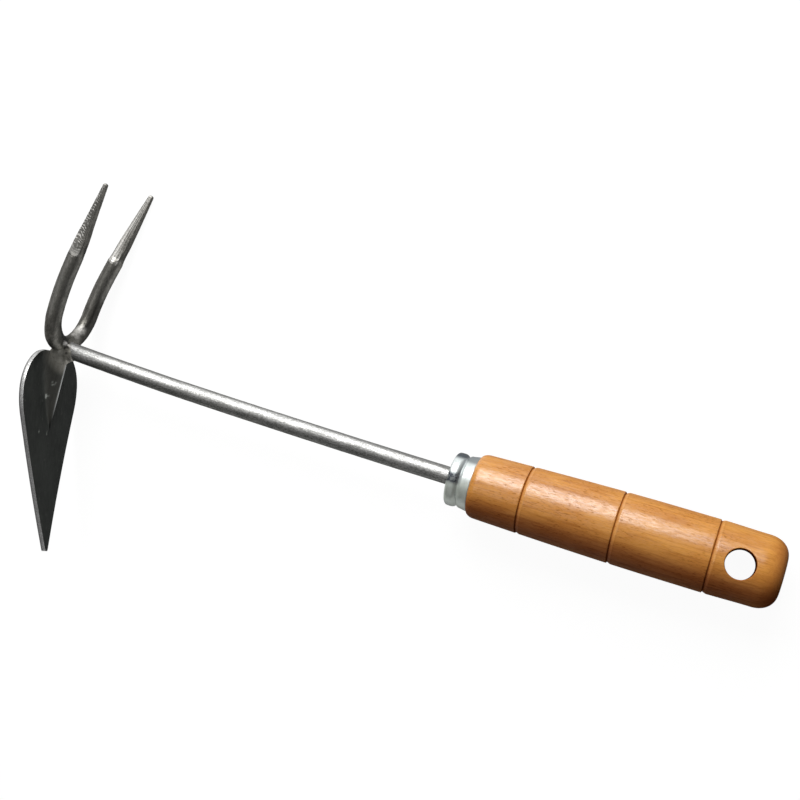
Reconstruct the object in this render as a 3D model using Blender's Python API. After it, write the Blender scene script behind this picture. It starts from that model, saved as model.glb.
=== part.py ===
# Hand double hoe: a two-tined rake fork and a leaf-shaped hoe blade on one round shank,
# with a turned wooden grip. It is drawn in the tool's own axes, in metres: x runs from the
# head to the butt along the shank, y points the way the tines do, z goes across the tool.
# At the end the whole tool is laid down on its side, as it rests on a bench.

import bpy
import bmesh
import numpy as np
from math import atan2, cos, pi, radians, sin, sqrt, tan
from mathutils import Matrix, Vector

mm = 0.001

# Fit between pieces that touch
clearance = 0.3 * mm

# Shank, a plain round bar from x = 0, whose rear end is the tang inside the grip
shank_diameter = 7.6 * mm
shank_showing = 185.6 * mm
tang_length = 60.0 * mm
tang_point = 9.0 * mm
tang_tip_diameter = 3.0 * mm

# Fork, one round bar bent to a U and drawn down to two square points
bar_diameter = 7.2 * mm
fork_height = 78.2 * mm
fork_sink = 0.3 * mm
bow_width = 31.2 * mm
tip_width = 42.7 * mm
fork_lean = radians(12.8)
lean_radius = 127.0 * mm
lean_start = 9.5 * mm
draw_length = 33.8 * mm
draw_shoulder = 1.8 * mm
draw_waist = 0.686
draw_fall = 6
point_thickness = 1.8 * mm
point_round = 0.85 * mm
point_end = 0.35

# Hoe blade, pressed from plate: a leaf outline, a forward curl and one stiffening rib
plate_thickness = 2.1 * mm
blade_width = 46.2 * mm
blade_length = 90.0 * mm
blade_crown = 18.6 * mm
crown_fullness = 2.2
crown_end = radians(80)
blade_shoulder = 0.07
blade_tip_width = 1.7 * mm
blade_tip_round = 0.7 * mm
blade_slope_top = radians(11.0)
blade_slope_tip = radians(16.2)
rib_length = 35.0 * mm
rib_width = 19.0 * mm
rib_height = 8.0 * mm
rib_crest_radius = 1.3 * mm
rib_crest_end = 0.15
rib_run_out = 1.3

# Welds: a ring round the shank's end, and a bead on each side in front of it
ring_throat = 0.9 * mm
ring_length = 3.3 * mm
ring_peak = 0.4
bead_length = 6.6 * mm
bead_height = 6.3 * mm
bead_width = 7.4 * mm
bead_ahead = 1.1 * mm
bead_below = 1.1 * mm

# Ferrule, a thin drawn cup with two rolled bands
ferrule_length = 9.0 * mm
ferrule_wall = 0.8 * mm
ferrule_face_diameter = 18.2 * mm
front_band_diameter = 22.7 * mm
front_band_length = 4.6 * mm
front_band_fullness = 2.5
neck_diameter = 21.1 * mm
neck_place = 5.2 * mm
rear_band_diameter = 22.2 * mm
rear_band_place = 6.5 * mm
ferrule_rim_diameter = 23.2 * mm

# Grip, turned beech
grip_tilt = radians(1.38)
grip_length = 138.2 * mm
spigot_lead = 1.0 * mm
shoulder_diameter = 23.6 * mm
shoulder_round = 4.0 * mm
grip_front_diameter = 27.3 * mm
grip_diameter = 30.2 * mm
swell_end = 88.0 * mm
swell_power = 1.6
groove_first = 32.5 * mm
groove_pitch = 38.85 * mm
groove_count = 3
groove_depth = 0.6 * mm
groove_wall = 0.2 * mm
groove_floor = 0.7 * mm
groove_bevel = 1.3 * mm
butt_face_diameter = 13.0 * mm
butt_round = 9.3 * mm
butt_fullness = 2.25
hang_hole_diameter = 12.5 * mm
hang_hole_from_butt = 16.5 * mm
hang_hole_turn = radians(-9.3)

# Facets round each form
turned_sides = 44
hole_sides = 40
shank_sides = 28
bar_sides = 24
blade_columns = 13
column_crowding = 1.25

# Places that follow from the sizes above
shank_radius = shank_diameter / 2
bar_radius = bar_diameter / 2
bow_height = bar_radius - fork_sink
splay = atan2((tip_width - bow_width) / 2, fork_height - bow_height - bow_width / 2)
bow_radius = bow_width / 2 / cos(splay)
fork_x = -clearance - bar_radius
crest_x = -2 * clearance
blade_top = -fork_sink - clearance
plate_x = crest_x - rib_height
ferrule_x = shank_showing


def superarc(centre, half, power, start, end, steps):
    # Points on a quarter of a superellipse, from one angle to another
    points = []
    for i in range(steps + 1):
        angle = start + (end - start) * i / steps
        across = abs(cos(angle)) ** (2 / power) * (1 if cos(angle) > 0 else -1)
        up = abs(sin(angle)) ** (2 / power)
        points.append((centre[0] + half[0] * across, centre[1] + half[1] * up))
    return points


def rounding(share):
    # Height of a quarter circle at a share of its radius, 1 at the start and 0 at the end
    return sqrt(max(1 - share ** 2, 0))


def finish(obj, paint, sharp=35):
    mesh = obj.data
    mesh.shade_smooth()
    mesh.set_sharp_from_angle(angle=radians(sharp))
    mesh.materials.append(paint)
    return obj


def object_from(name, bm):
    bmesh.ops.recalc_face_normals(bm, faces=bm.faces)
    mesh = bpy.data.meshes.new(name)
    bm.to_mesh(mesh)
    bm.free()
    obj = bpy.data.objects.new(name, mesh)
    bpy.context.scene.collection.objects.link(obj)
    return obj


def turned(name, outline, sides, closed=False):
    # Spins an outline of (place along x, radius) points round the x axis
    bm = bmesh.new()
    corners = [bm.verts.new((along, 0, radius)) for along, radius in outline]
    pairs = list(zip(corners, corners[1:]))
    if closed:
        pairs.append((corners[-1], corners[0]))
    edges = [bm.edges.new(pair) for pair in pairs]
    bmesh.ops.spin(bm, geom=corners + edges, axis=(1, 0, 0), cent=(0, 0, 0),
                   angle=2 * pi, steps=sides, use_merge=True)
    bmesh.ops.remove_doubles(bm, verts=bm.verts, dist=0.001 * mm)
    return object_from(name, bm)


def skin(name, rings):
    # Joins rings of points to a closed tube with flat ends
    bm = bmesh.new()
    loops = [[bm.verts.new(point) for point in ring] for ring in rings]
    count = len(loops[0])
    for low, high in zip(loops, loops[1:]):
        for i in range(count):
            j = (i + 1) % count
            bm.faces.new((low[i], low[j], high[j], high[i]))
    bm.faces.new(loops[0])
    bm.faces.new(loops[-1])
    return object_from(name, bm)


def cut(obj, cutter):
    cutter.hide_render = True
    cutter.display_type = "WIRE"
    tool = obj.modifiers.new("cut_" + cutter.name, "BOOLEAN")
    tool.operation = "DIFFERENCE"
    tool.solver = "EXACT"
    tool.object = cutter


def material(name, colour, roughness, metallic):
    paint = bpy.data.materials.new(name)
    paint.use_nodes = True
    shader = paint.node_tree.nodes["Principled BSDF"]
    shader.inputs["Base Color"].default_value = (*colour, 1)
    shader.inputs["Roughness"].default_value = roughness
    shader.inputs["Metallic"].default_value = metallic
    return paint


def beech():
    return material("beech", (0.52, 0.24, 0.07), 0.35, 0.0)


def zinc():
    return material("zinc", (0.66, 0.68, 0.68), 0.28, 1.0)


def bar_steel():
    return material("bar_steel", (0.42, 0.41, 0.39), 0.42, 1.0)


def forged_steel():
    return material("forged_steel", (0.25, 0.24, 0.22), 0.48, 1.0)


def plate_steel():
    return material("plate_steel", (0.20, 0.21, 0.22), 0.38, 1.0)


def weld_steel(name):
    return material(name, (0.36, 0.33, 0.29), 0.5, 1.0)


def shank(name="shank", grow=0.0):
    # The front end is square where it is butt welded, the tang ends in a blunt point
    radius = shank_radius + grow
    end = ferrule_x + tang_length
    outline = [(-grow, 0), (-grow, radius), (end - tang_point, radius),
               (end + grow, tang_tip_diameter / 2 + grow), (end + grow, 0)]
    return turned(name, outline, shank_sides)


def lean_at(height):
    # How far the tines lean to the grip: upright, then one bend, then straight
    run = height - lean_start
    if run <= 0:
        return 0.0
    bend = lean_radius * sin(fork_lean)
    if run < bend:
        return lean_radius - sqrt(lean_radius ** 2 - run ** 2)
    return lean_radius * (1 - cos(fork_lean)) + (run - bend) * tan(fork_lean)


def fork_path():
    # Half of the bar's centre line, from the middle of the bow to one point
    turn = pi / 2 - splay
    path = [(bow_radius * sin(turn * i / 10), bow_height + bow_radius * (1 - cos(turn * i / 10)))
            for i in range(11)]
    across, height = path[-1]
    draw_start = fork_height - draw_length
    marks = [height + (draw_start - height) * i / 6 for i in range(1, 7)]
    marks += [draw_start + draw_shoulder * i / 2 for i in range(1, 3)]
    drawn = fork_height - draw_start - draw_shoulder
    marks += [draw_start + draw_shoulder + drawn * i / 9 for i in range(1, 9)]
    marks += [fork_height - point_round * share for share in (1, 0.45, 0)]
    path += [(across + (mark - height) * tan(splay), mark) for mark in marks]
    return [Vector((fork_x + lean_at(up), up, side)) for side, up in path]


def flat_distance(height):
    # Half the distance between opposite flats of the square point
    gone = (height - (fork_height - draw_length)) / draw_length
    if gone <= 0:
        return bar_radius
    left = 1 - gone
    tip = point_thickness / 2
    steady = draw_waist * bar_radius
    flat = tip + steady * left + (bar_radius - tip - steady) * left ** draw_fall
    to_round = max(height - fork_height + point_round, 0) / point_round
    return flat * (point_end + (1 - point_end) * rounding(to_round))


def fork_rings(grow):
    half = fork_path()
    mirrored = [Vector((p.x, p.y, -p.z)) for p in reversed(half[1:])]
    line = mirrored + half
    rings = []
    for i, place in enumerate(line):
        before = line[max(i - 1, 0)]
        after = line[min(i + 1, len(line) - 1)]
        along = (after - before).normalized()
        front = (Vector((1, 0, 0)) - along * along.x).normalized()
        side = along.cross(front)
        flat = flat_distance(place.y) + grow
        ring = []
        for k in range(bar_sides):
            angle = 2 * pi * k / bar_sides
            reach = min(bar_radius + grow, flat / max(abs(cos(angle)), abs(sin(angle))))
            ring.append(place + front * reach * cos(angle) + side * reach * sin(angle))
        rings.append(ring)
    return rings


def fork(name="fork", grow=0.0):
    return skin(name, fork_rings(grow))


def half_width_at(height):
    # The leaf outline: a full crown, then straight sides down to a blunt tip
    widest = blade_top - blade_crown
    half = blade_width / 2
    if height > widest:
        share = (height - widest) / blade_crown
        return half * (1 - share ** crown_fullness) ** (1 / crown_fullness)
    gone = (widest - height) / (blade_length - blade_crown)
    side = gone - blade_shoulder * (1 - (1 - min(gone / (2 * blade_shoulder), 1)) ** 2)
    tip = blade_tip_width / 2
    straight = half + (tip - half) * side / (1 - blade_shoulder)
    into_round = max(blade_top - blade_length + blade_tip_round - height, 0) / blade_tip_round
    return straight - blade_tip_round * (1 - rounding(into_round))


def plate_front_at(height):
    # The front face of the plate curls to the grip as it goes down
    down = blade_top - height
    gone = down / blade_length
    slope_top = tan(blade_slope_top)
    slope_tip = tan(blade_slope_tip)
    return plate_x + down * (slope_top + (slope_tip - slope_top) * gone / 2)


def rib_at(height, across):
    # A pressed V whose crest stays level while the plate comes forward to meet it
    gone = (blade_top - height) / rib_length
    if gone >= 1:
        return 0.0
    half = rib_width / 2 * (1 - max(gone, 0) ** rib_run_out)
    rise = crest_x - plate_front_at(height)
    if rise <= 0 or half <= 0:
        return 0.0
    soft = rib_crest_radius * min(1, half / (rib_width / 2) + rib_crest_end)
    ridge = half - (sqrt(across ** 2 + soft ** 2) - soft)
    foot = (ridge + sqrt(ridge ** 2 + soft ** 2)) / 2
    crown = (half + sqrt(half ** 2 + soft ** 2)) / 2
    return rise * foot / crown


def blade_rows():
    # Heights from the top edge to the tip, closest at the crown and at the tip's round
    widest = blade_top - blade_crown
    rows = [widest + blade_crown * sin(crown_end * (1 - i / 11)) for i in range(12)]
    bottom = blade_top - blade_length
    tip_start = bottom + blade_tip_round
    rows += [widest + (tip_start - widest) * i / 14 for i in range(1, 15)]
    rows += [bottom + blade_tip_round * share for share in (0.4, 0.1, 0)]
    return rows


def blade_sheet(name, grow):
    # The front face, as rows of points that crowd together at the rib
    spread = [(i / blade_columns) ** column_crowding for i in range(blade_columns + 1)]
    shares = [-share for share in reversed(spread[1:])] + spread
    bm = bmesh.new()
    grid = []
    for height in blade_rows():
        half = half_width_at(height) + grow
        row = []
        for share in shares:
            front = plate_front_at(height) + rib_at(height, share * half)
            row.append(bm.verts.new((front, height, share * half)))
        grid.append(row)
    for upper, lower in zip(grid, grid[1:]):
        for i in range(len(upper) - 1):
            bm.faces.new((upper[i], upper[i + 1], lower[i + 1], lower[i]))
    return object_from(name, bm)


def hoe_blade(name="hoe_blade", grow=0.0):
    obj = blade_sheet(name, grow)
    plate = obj.modifiers.new("plate", "SOLIDIFY")
    plate.thickness = plate_thickness + 2 * grow
    facing = 1 if obj.data.polygons[0].normal.x > 0 else -1
    plate.offset = facing * (2 * grow / plate.thickness - 1)
    plate.use_even_offset = True
    return obj


def shank_weld(name="shank_weld", grow=0.0):
    # The ring of weld round the shank's front end, steeper at the front
    bore = shank_radius + clearance - grow
    throat = ring_throat + 2 * grow
    peak = clearance + ring_length * ring_peak
    rear = superarc((peak, bore), (ring_length * (1 - ring_peak) + grow, throat), 2, 0, pi / 2, 5)
    front = superarc((peak, bore), (ring_length * ring_peak + grow, throat), 2, pi / 2, pi, 4)
    return turned(name, rear + front[1:], shank_sides, closed=True)


def fork_weld(name, side, cutters):
    # A bead laid in the hollow between the bow, the rib and the shank's end
    bm = bmesh.new()
    bmesh.ops.create_uvsphere(bm, u_segments=14, v_segments=9, radius=0.5)
    place = Vector((-bead_ahead, blade_top - bead_below, side * shank_radius))
    stretch = Matrix.Diagonal((bead_length, bead_height, bead_width, 1))
    bmesh.ops.transform(bm, matrix=Matrix.Translation(place) @ stretch, verts=bm.verts)
    obj = object_from(name, bm)
    for cutter in cutters:
        cut(obj, cutter)
    return obj


def ferrule_radius(place):
    # Outer radius of the cup: a full front band, the neck, a small roll and the flared rim
    face = ferrule_face_diameter / 2
    neck = neck_diameter / 2
    band = front_band_diameter / 2
    middle = front_band_length / 2
    share = min(abs(place - middle) / middle, 1)
    full = front_band_fullness
    front = face + (band - face) * (1 - share ** full) ** (1 / full)
    if place <= middle:
        return front
    if place <= neck_place:
        return max(front, neck)
    rear = rear_band_diameter / 2
    rim = ferrule_rim_diameter / 2
    if place <= rear_band_place:
        climb = (place - neck_place) / (rear_band_place - neck_place)
        return neck + (rear - neck) * sin(climb * pi / 2)
    return rear + (rim - rear) * (place - rear_band_place) / (ferrule_length - rear_band_place)


def ferrule():
    middle = front_band_length / 2
    places = [middle * (1 - cos(pi / 2 * i / 6)) for i in range(7)]
    places += [middle + (neck_place - middle) * sin(pi / 2 * i / 4) for i in range(1, 5)]
    places += [neck_place + (rear_band_place - neck_place) * i / 3 for i in range(1, 4)]
    places += [(rear_band_place + ferrule_length) / 2, ferrule_length]
    outer = [(place, ferrule_radius(place)) for place in places]
    inside = [place for place in places if place > 2 * ferrule_wall]
    inner = [(place, ferrule_radius(place) - ferrule_wall) for place in reversed(inside)]
    floor = (ferrule_wall, ferrule_face_diameter / 2 - ferrule_wall)
    hole = shank_radius + clearance
    outline = outer + inner + [floor, (ferrule_wall, hole), (0, hole)]
    return turned("ferrule", outline, turned_sides, closed=True)


def grip_radius(place):
    front = grip_front_diameter / 2
    full = grip_diameter / 2
    start = ferrule_length + shoulder_round
    share = min(max((place - start) / (swell_end - start), 0), 1)
    return full - (full - front) * (1 - share) ** swell_power


def groove(place):
    # A turned line with a steep wall to the head and a bevel to the butt
    depth = grip_radius(place) - groove_depth
    start = place - groove_floor / 2 - groove_wall
    end = place + groove_floor / 2 + groove_bevel
    return [(start, grip_radius(start)), (start + groove_wall, depth),
            (start + groove_wall + groove_floor, depth), (end, grip_radius(end))]


def grip_outline():
    spigot = neck_diameter / 2 - ferrule_wall - clearance
    spigot_start = ferrule_wall + clearance
    shoulder = ferrule_length + clearance
    foot = shoulder_diameter / 2
    body = shoulder + shoulder_round
    outline = [(spigot_start, 0), (spigot_start, spigot - spigot_lead),
               (spigot_start + spigot_lead, spigot), (shoulder, spigot)]
    outline += superarc((body, foot), (shoulder_round, grip_radius(body) - foot), 2, pi, pi / 2, 6)
    corner = grip_length - butt_round
    last = body
    for k in range(groove_count):
        line = groove(groove_first + k * groove_pitch)
        between = [last + (line[0][0] - last) * i / 5 for i in range(1, 5)]
        outline += [(place, grip_radius(place)) for place in between] + line
        last = line[-1][0]
    outline += [((last + corner) / 2, grip_radius(corner))]
    face = butt_face_diameter / 2
    outline += superarc((corner, face), (butt_round, grip_radius(corner) - face),
                        butt_fullness, pi / 2, 0, 10)
    return outline + [(grip_length, 0)]


def grip(handle):
    obj = turned("grip", grip_outline(), turned_sides)
    obj.parent = handle
    hole_radius = hang_hole_diameter / 2
    rod = [(-grip_diameter, 0), (-grip_diameter, hole_radius), (grip_diameter, hole_radius),
           (grip_diameter, 0)]
    hole = turned("hang_hole_cutter", rod, hole_sides)
    hole.parent = handle
    hole.location = (grip_length - hang_hole_from_butt, 0, 0)
    hole.rotation_euler = (hang_hole_turn, 0, 0)
    hole.data.transform(Matrix.Rotation(pi / 2, 4, "Y"))
    cut(obj, hole)
    return obj


def empty(name, parent=None):
    obj = bpy.data.objects.new(name, None)
    bpy.context.scene.collection.objects.link(obj)
    obj.parent = parent
    return obj


def rest_normal():
    # Up, square to the plane through the three points that the tool lies on
    widest = blade_top - blade_crown
    blade_edge = Vector((plate_front_at(widest) - plate_thickness / 2, widest, -blade_width / 2))
    tip_height = fork_height - point_thickness
    tine = Vector((fork_x + lean_at(tip_height), tip_height, -(tip_width + point_thickness) / 2))
    along = grip_length - hang_hole_from_butt
    butt = Vector((ferrule_x + along * cos(grip_tilt), along * sin(grip_tilt), -grip_diameter / 2))
    up = (tine - blade_edge).cross(butt - blade_edge).normalized()
    return up if up.z > 0 else -up


def box_of(objects):
    bpy.context.view_layer.update()
    graph = bpy.context.evaluated_depsgraph_get()
    points = []
    for obj in objects:
        solid = obj.evaluated_get(graph)
        mesh = solid.to_mesh()
        points += [solid.matrix_world @ v.co for v in mesh.vertices]
        solid.to_mesh_clear()
    cloud = np.array(points)
    return Vector(cloud.min(axis=0)), Vector(cloud.max(axis=0))


def lay_down(tool, pieces):
    # Turns the tool onto its side, then sets the middle of its footprint at the origin
    turn = rest_normal().rotation_difference(Vector((0, 0, 1)))
    tool.rotation_euler = turn.to_euler()
    low, high = box_of(pieces)
    tool.location = (-(low.x + high.x) / 2, -(low.y + high.y) / 2, -low.z)


def build():
    for old in list(bpy.data.objects):
        bpy.data.objects.remove(old)
    tool = empty("tool")
    handle = empty("handle_line", tool)
    handle.location = (ferrule_x, 0, 0)
    handle.rotation_euler = (0, 0, grip_tilt)

    wood = finish(grip(handle), beech(), 30)
    cup = finish(ferrule(), zinc())
    cup.parent = handle
    bar = finish(shank(), bar_steel())
    rake = finish(fork(), forged_steel())
    blade = finish(hoe_blade(), plate_steel(), 60)
    ring = finish(shank_weld(), weld_steel("ring_weld_steel"))

    bore = shank("tang_bore_cutter", clearance)
    cut(wood, bore)
    cutters = [shank("shank_room", clearance), fork("fork_room", clearance),
               hoe_blade("blade_room", clearance), shank_weld("ring_room", clearance)]
    near_bead = finish(fork_weld("fork_weld_near", 1, cutters), weld_steel("near_weld_steel"))
    far_bead = finish(fork_weld("fork_weld_far", -1, cutters), weld_steel("far_weld_steel"))
    for obj in [bar, rake, blade, ring, near_bead, far_bead, bore] + cutters:
        obj.parent = tool

    lay_down(tool, [wood, cup, bar, rake, blade, ring, near_bead, far_bead])


build()
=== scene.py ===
from math import atan2, cos, pi, radians, sin, sqrt, tan

import bmesh
import bpy
import numpy as np
from mathutils import Euler, Matrix, Vector, noise


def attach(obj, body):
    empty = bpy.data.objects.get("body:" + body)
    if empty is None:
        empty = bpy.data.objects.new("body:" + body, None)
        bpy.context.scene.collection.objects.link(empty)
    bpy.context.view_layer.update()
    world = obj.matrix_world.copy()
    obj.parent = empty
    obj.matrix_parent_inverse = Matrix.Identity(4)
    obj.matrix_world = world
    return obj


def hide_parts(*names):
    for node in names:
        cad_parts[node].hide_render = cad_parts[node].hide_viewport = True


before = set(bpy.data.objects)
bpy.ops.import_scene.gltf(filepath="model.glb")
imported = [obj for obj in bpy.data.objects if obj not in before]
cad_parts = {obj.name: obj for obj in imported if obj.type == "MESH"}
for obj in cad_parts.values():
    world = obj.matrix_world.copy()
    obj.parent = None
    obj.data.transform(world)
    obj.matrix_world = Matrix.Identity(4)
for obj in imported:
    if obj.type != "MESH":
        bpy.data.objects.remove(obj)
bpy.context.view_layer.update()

mm = 0.001

# The tool's own axes: x from head to butt along the shank, y the way the tines point,
# z across. toolPose lays the tool on its side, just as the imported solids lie.
toolAxes = {
    "location": (-0.15676403, 0.00638871, 0.02302689),
    "turn": (-0.00522673, 0.02517468, -0.00006579),
}
toolPose = Matrix.Translation(toolAxes["location"]) @ Euler(toolAxes["turn"]).to_matrix().to_4x4()


def placeObject(name, data, pose):
    obj = bpy.data.objects.new(name, data)
    obj.matrix_world = pose
    bpy.context.scene.collection.objects.link(obj)
    return obj


def storeMarks(mesh, marks):
    # marks are values per point that a material can read by name
    for mark, values in marks.items():
        mesh.attributes.new(mark, "FLOAT", "POINT").data.foreach_set("value", values)


def makeMesh(name, points, faces, marks=None):
    mesh = bpy.data.meshes.new(name)
    mesh.from_pydata([tuple(point) for point in points], [], faces)
    storeMarks(mesh, marks or {})
    mesh.update()
    mesh.shade_smooth()
    return mesh


def addMarks(marks, *values, copies=1):
    for mark, value in zip(marks, values):
        marks[mark] += [value] * copies


def rowsOf(points, width):
    return [list(range(i, i + width)) for i in range(0, len(points), width)]


def ringFaces(rings, closed=False):
    faces = []
    pairs = list(zip(rings, rings[1:]))
    if closed:
        pairs.append((rings[-1], rings[0]))
    for low, high in pairs:
        for k in range(len(low)):
            n = (k + 1) % len(low)
            # Where a ring is a single point, its repeats drop out
            faces.append(tuple(dict.fromkeys((low[k], low[n], high[n], high[k]))))
    return faces


def turnedPoints(outline, sides):
    # Spins (place, radius, ...) rows round x; a zero radius becomes a single point
    points, rings = [], []
    for place, radius, *rest in outline:
        start = len(points)
        if radius == 0:
            points.append((place, 0, 0))
            rings.append([start] * sides)
            continue
        for k in range(sides):
            angle = 2 * pi * k / sides
            points.append((place, radius * cos(angle), radius * sin(angle)))
        rings.append(list(range(start, start + sides)))
    return points, rings


def smoothStep(low, high, value):
    share = min(max((value - low) / (high - low), 0), 1)
    return share * share * (3 - 2 * share)


def fadeOut(low, high, value):
    return 1 - smoothStep(low, high, value)


def addModifier(obj, name, kind, **settings):
    made = obj.modifiers.new(name, kind)
    for setting, value in settings.items():
        setattr(made, setting, value)


def rideRoot(obj, paints, nodes):
    for paint in paints:
        obj.data.materials.append(paint)
    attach(obj, "root")
    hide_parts(*nodes)
    print("made", obj.name, len(obj.data.polygons), "faces")
    return obj


# Shader nodes

def feed(tree, socket, value):
    if isinstance(value, bpy.types.NodeSocket):
        tree.links.new(value, socket)
    else:
        socket.default_value = value


def addNode(tree, kind, inputs=None, **settings):
    made = tree.nodes.new("ShaderNode" + kind)
    for setting, value in settings.items():
        setattr(made, setting, value)
    for socket, value in (inputs or {}).items():
        feed(tree, made.inputs[socket], value)
    return made


def calc(tree, operation, first, second=0.0, third=0.0):
    made = addNode(tree, "Math", {0: first, 1: second, 2: third}, operation=operation)
    return made.outputs[0]


def times(tree, first, second):
    return calc(tree, "MULTIPLY", first, second)


def splitAxes(tree, place):
    return addNode(tree, "SeparateXYZ", {0: place}).outputs


def ramp(tree, value, low, high, toLow=0.0, toHigh=1.0, kind="SMOOTHSTEP"):
    made = addNode(tree, "MapRange", {"Value": value, "From Min": low, "From Max": high,
                                      "To Min": toLow, "To Max": toHigh})
    made.interpolation_type = kind
    return made.outputs["Result"]


def blendColour(tree, share, first, second, blend="MIX"):
    made = addNode(tree, "Mix", data_type="RGBA", blend_type=blend)
    feed(tree, made.inputs["Factor"], share)
    feed(tree, made.inputs[6], first)     # 6, 7 and output 2 are the colour sockets
    feed(tree, made.inputs[7], second)
    return made.outputs[2]


def readMark(tree, name):
    return addNode(tree, "Attribute", attribute_name=name).outputs["Fac"]


def newGroup(name, inputs, outputs):
    tree = bpy.data.node_groups.new(name, "ShaderNodeTree")
    for label, kind, value in inputs:
        socket = tree.interface.new_socket(label, in_out="INPUT", socket_type="NodeSocket" + kind)
        if value is not None:
            socket.default_value = value
    for label, kind in outputs:
        tree.interface.new_socket(label, in_out="OUTPUT", socket_type="NodeSocket" + kind)
    entry = tree.nodes.new("NodeGroupInput").outputs
    return tree, entry, tree.nodes.new("NodeGroupOutput").inputs


def useGroup(tree, group, inputs):
    made = tree.nodes.new("ShaderNodeGroup")
    made.node_tree = group
    for socket, value in inputs.items():
        feed(tree, made.inputs[socket], value)
    return made.outputs


def newMaterial(name):
    paint = bpy.data.materials.new(name)
    paint.use_nodes = True
    tree = paint.node_tree
    return paint, tree, tree.nodes.new("ShaderNodeTexCoord").outputs["Object"]


def setShader(tree, inputs):
    for socket, value in inputs.items():
        feed(tree, tree.nodes["Principled BSDF"].inputs[socket], value)


def bumpFrom(tree, height, distance, strength=1.0, under=None):
    made = addNode(tree, "Bump", {"Height": height, "Distance": distance, "Strength": strength})
    if under is not None:
        feed(tree, made.inputs["Normal"], under)
    return made.outputs["Normal"]


def noiseField(tree, place, size, detail=2.0):
    return useGroup(tree, stretchedNoise, {"Vector": place, "Size": size,
                                           "Detail": detail})["Value"]


def speckMask(tree, place, size, start, full):
    return useGroup(tree, specks, {"Vector": place, "Size": size, "Start": start,
                                   "Full": full})["Mask"]


def steelField(tree, place, look):
    inputs = {"Vector": place}
    for label, weight in zip(("Blotch", "Grain", "Streak"), look["weights"]):
        inputs[label] = look[label.lower()]
        inputs[label + " Weight"] = weight
    return useGroup(tree, steelSkin, inputs)


def makeStretchedNoise():
    # Noise whose features have a real size along each axis
    tree, entry, leave = newGroup(
        "stretchedNoise",
        [("Vector", "Vector", None), ("Size", "Vector", (0.001, 0.001, 0.001)),
         ("Detail", "Float", 2.0)],
        [("Value", "Float")])
    scaled = addNode(tree, "VectorMath", {0: entry["Vector"], 1: entry["Size"]}, operation="DIVIDE")
    field = addNode(tree, "TexNoise", {"Vector": scaled.outputs[0], "Scale": 1.0,
                                       "Detail": entry["Detail"], "Roughness": 0.55})
    feed(tree, leave["Value"], field.outputs["Fac"])
    return tree


def makeSpecks():
    # Small separate specks: the peaks of a stretched noise
    tree, entry, leave = newGroup(
        "specks",
        [("Vector", "Vector", None), ("Size", "Vector", (0.001, 0.001, 0.001)),
         ("Start", "Float", 0.6), ("Full", "Float", 0.7)],
        [("Mask", "Float")])
    value = noiseField(tree, entry["Vector"], entry["Size"], 1.0)
    made = addNode(tree, "MapRange", {"Value": value, "From Min": entry["Start"],
                                      "From Max": entry["Full"]})
    feed(tree, leave["Mask"], made.outputs["Result"])
    return tree


def makeSteelSkin():
    # Worked steel: broad blotches, a fine mottle and streaks, each with its own weight
    tree, entry, leave = newGroup(
        "steelSkin",
        [("Vector", "Vector", None), ("Blotch", "Vector", (0.006, 0.006, 0.006)),
         ("Grain", "Vector", (0.0006, 0.0006, 0.0006)),
         ("Streak", "Vector", (0.0004, 0.02, 0.0004)),
         ("Blotch Weight", "Float", 0.3), ("Grain Weight", "Float", 0.4),
         ("Streak Weight", "Float", 0.3)],
        [("Tone", "Float"), ("Fine", "Float")])
    fields = {}
    for label, detail in (("Blotch", 3.0), ("Grain", 2.0), ("Streak", 2.0)):
        value = noiseField(tree, entry["Vector"], entry[label], detail)
        fields[label] = times(tree, calc(tree, "SUBTRACT", value, 0.5), entry[label + " Weight"])
    mixed = calc(tree, "ADD", fields["Blotch"], fields["Grain"])
    mixed = calc(tree, "ADD", mixed, fields["Streak"])
    feed(tree, leave["Tone"], ramp(tree, mixed, -0.13, 0.13))
    feed(tree, leave["Fine"], calc(tree, "ADD", fields["Grain"], fields["Streak"]))
    return tree


def makeLatheLines():
    # Faint rings that a turning tool leaves round the x axis
    tree, entry, leave = newGroup(
        "latheLines",
        [("Vector", "Vector", None), ("Pitch", "Float", 0.0005)],
        [("Height", "Float")])
    steps = calc(tree, "DIVIDE", splitAxes(tree, entry["Vector"])["X"], entry["Pitch"])
    field = addNode(tree, "TexNoise", {"W": steps, "Scale": 1.0, "Detail": 2.0},
                    noise_dimensions="1D")
    feed(tree, leave["Height"], field.outputs["Fac"])
    return tree


stretchedNoise = makeStretchedNoise()
specks = makeSpecks()
steelSkin = makeSteelSkin()
latheLines = makeLatheLines()
print("shader groups ready")


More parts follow.
